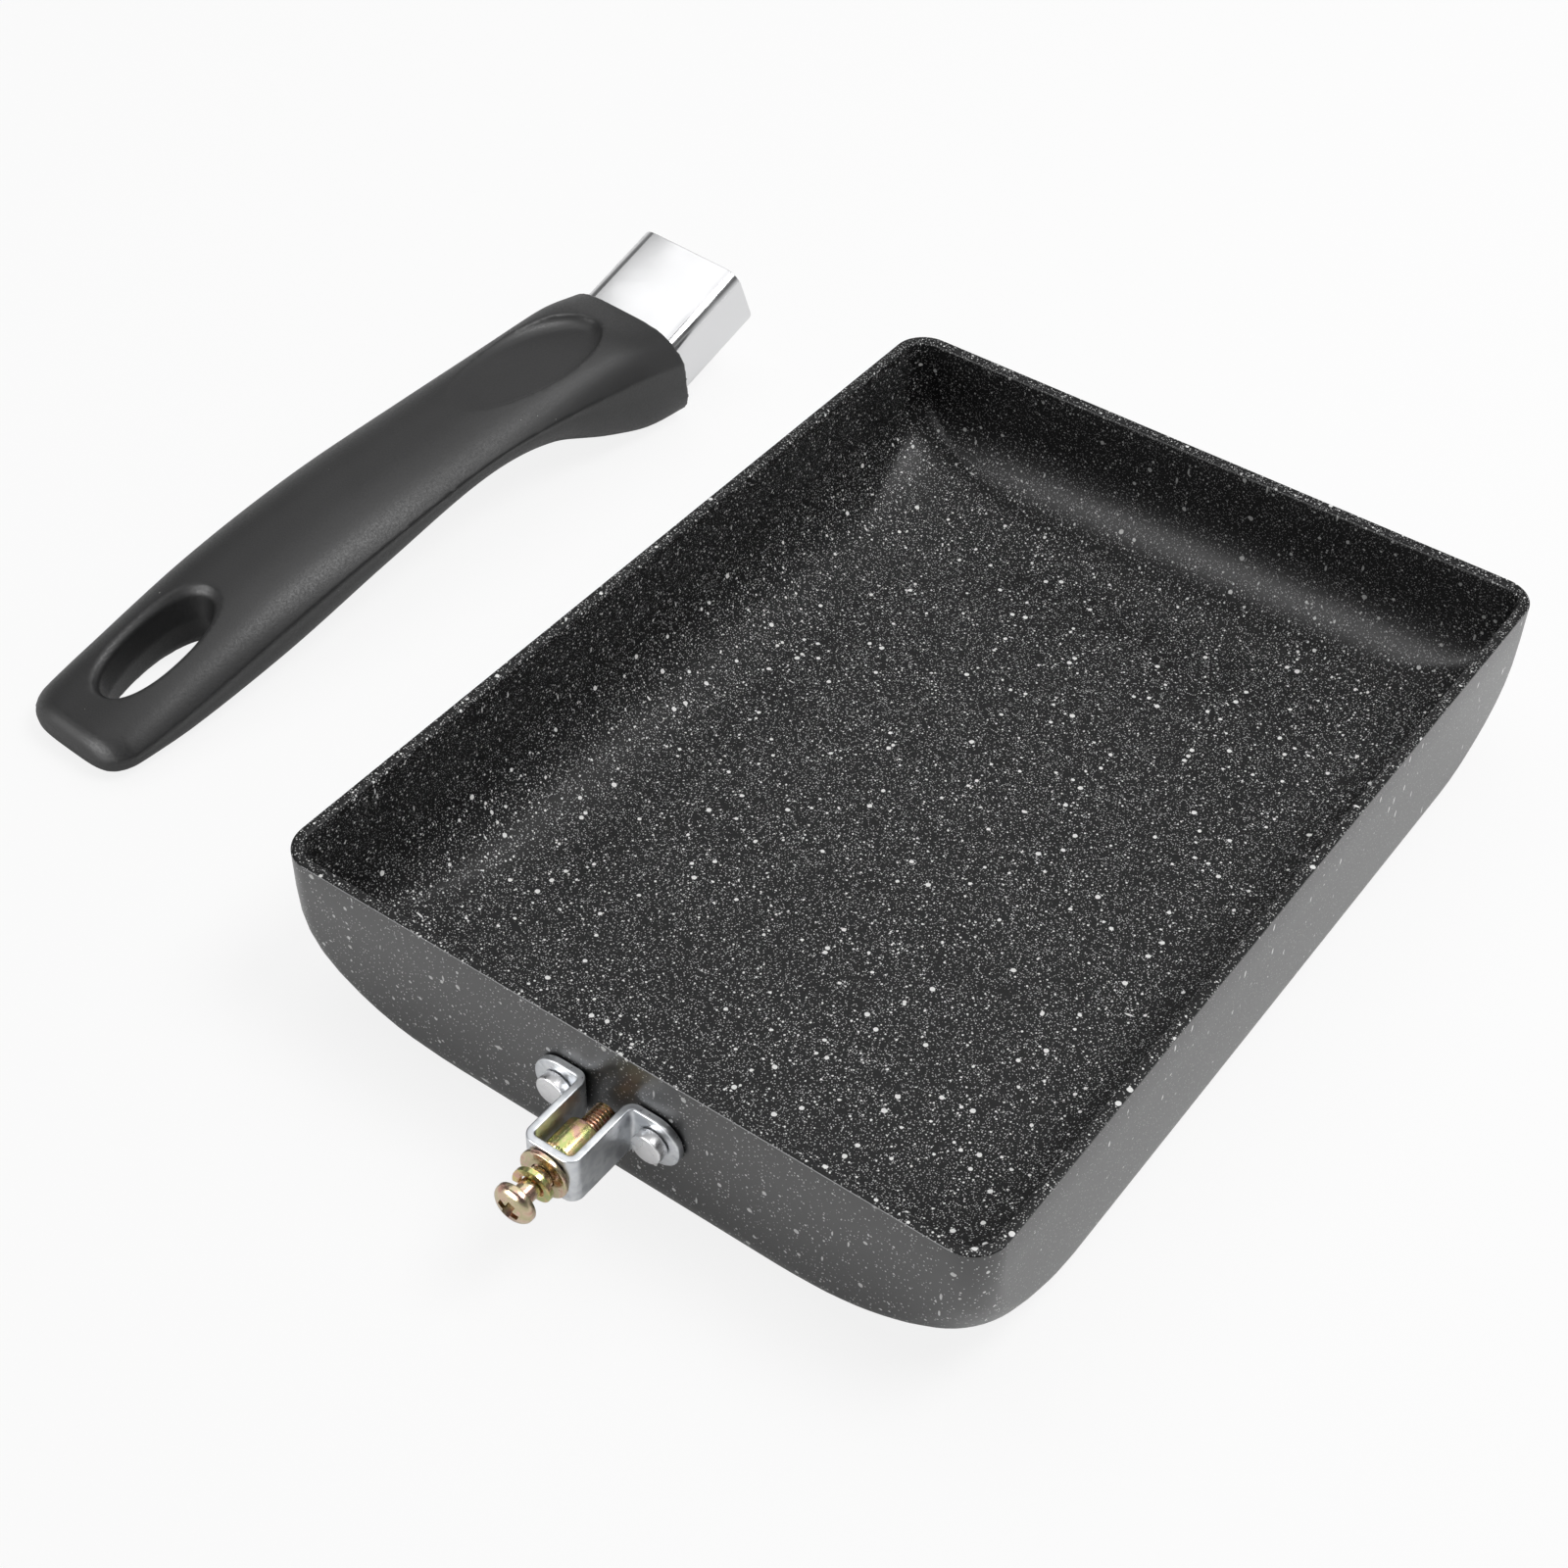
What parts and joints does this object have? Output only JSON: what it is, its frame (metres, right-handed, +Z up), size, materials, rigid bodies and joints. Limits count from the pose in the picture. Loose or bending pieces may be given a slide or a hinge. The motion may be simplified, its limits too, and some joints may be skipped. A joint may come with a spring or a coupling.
{
  "type": "frying pan",
  "caption": "Small rectangular frying pan with deep upright walls and rounded base corners, a riveted handle bracket with its screw set, and the grip lying unscrewed beside it.",
  "frame": {"origin": "middle of the pan's flat base, on the table", "axes": "+Z up, +Y along the pan's length away from the handle bracket, +X across it, so the loose handle lies on the -X side"},
  "size_m": [0.2436, 0.2386, 0.036],
  "materials": {
    "coating": "aluminium under a near-black non-stick coat with fine white speckle, satin",
    "zinc_steel": "bright blue-white zinc plate on pressed steel",
    "rivet_aluminium": "plain aluminium, slightly satin",
    "yellow_zinc": "iridescent yellow zinc plate on steel",
    "bakelite": "black moulded phenolic resin, fine pebble grain",
    "guard_aluminium": "bright polished aluminium"
  },
  "bodies": {
    "pan": {"pan_body": "coating", "handle_bracket": "zinc_steel", "rivet_left": "rivet_aluminium", "rivet_right": "rivet_aluminium", "clinch_nut": "yellow_zinc", "flat_washer": "yellow_zinc"},
    "lock_washer": {"spring_washer": "yellow_zinc"},
    "screw": {"screw": "yellow_zinc"},
    "handle": {"handle_grip": "bakelite", "flame_guard": "guard_aluminium"}
  },
  "joints": [
    {"name": "screw_travel", "type": "slide", "parent": "pan", "child": "lock_washer", "axis": [0, 1, 0], "range_m": [-0.014, 0.0007]},
    {"name": "screw_turn", "type": "hinge", "parent": "lock_washer", "child": "screw", "pos_m": [0.0012, -0.12, 0.0212], "axis": [0, 1, 0], "range_deg": [-7220, 380]},
    {"name": "handle_lift", "type": "slide", "parent": "pan", "child": "handle", "axis": [0, 0, 1], "range_m": [0, 0.12]}
  ],
  "couplings": [
    {"joint": "screw_turn", "follows": "screw_travel", "rad_per_m": 8976}
  ]
}
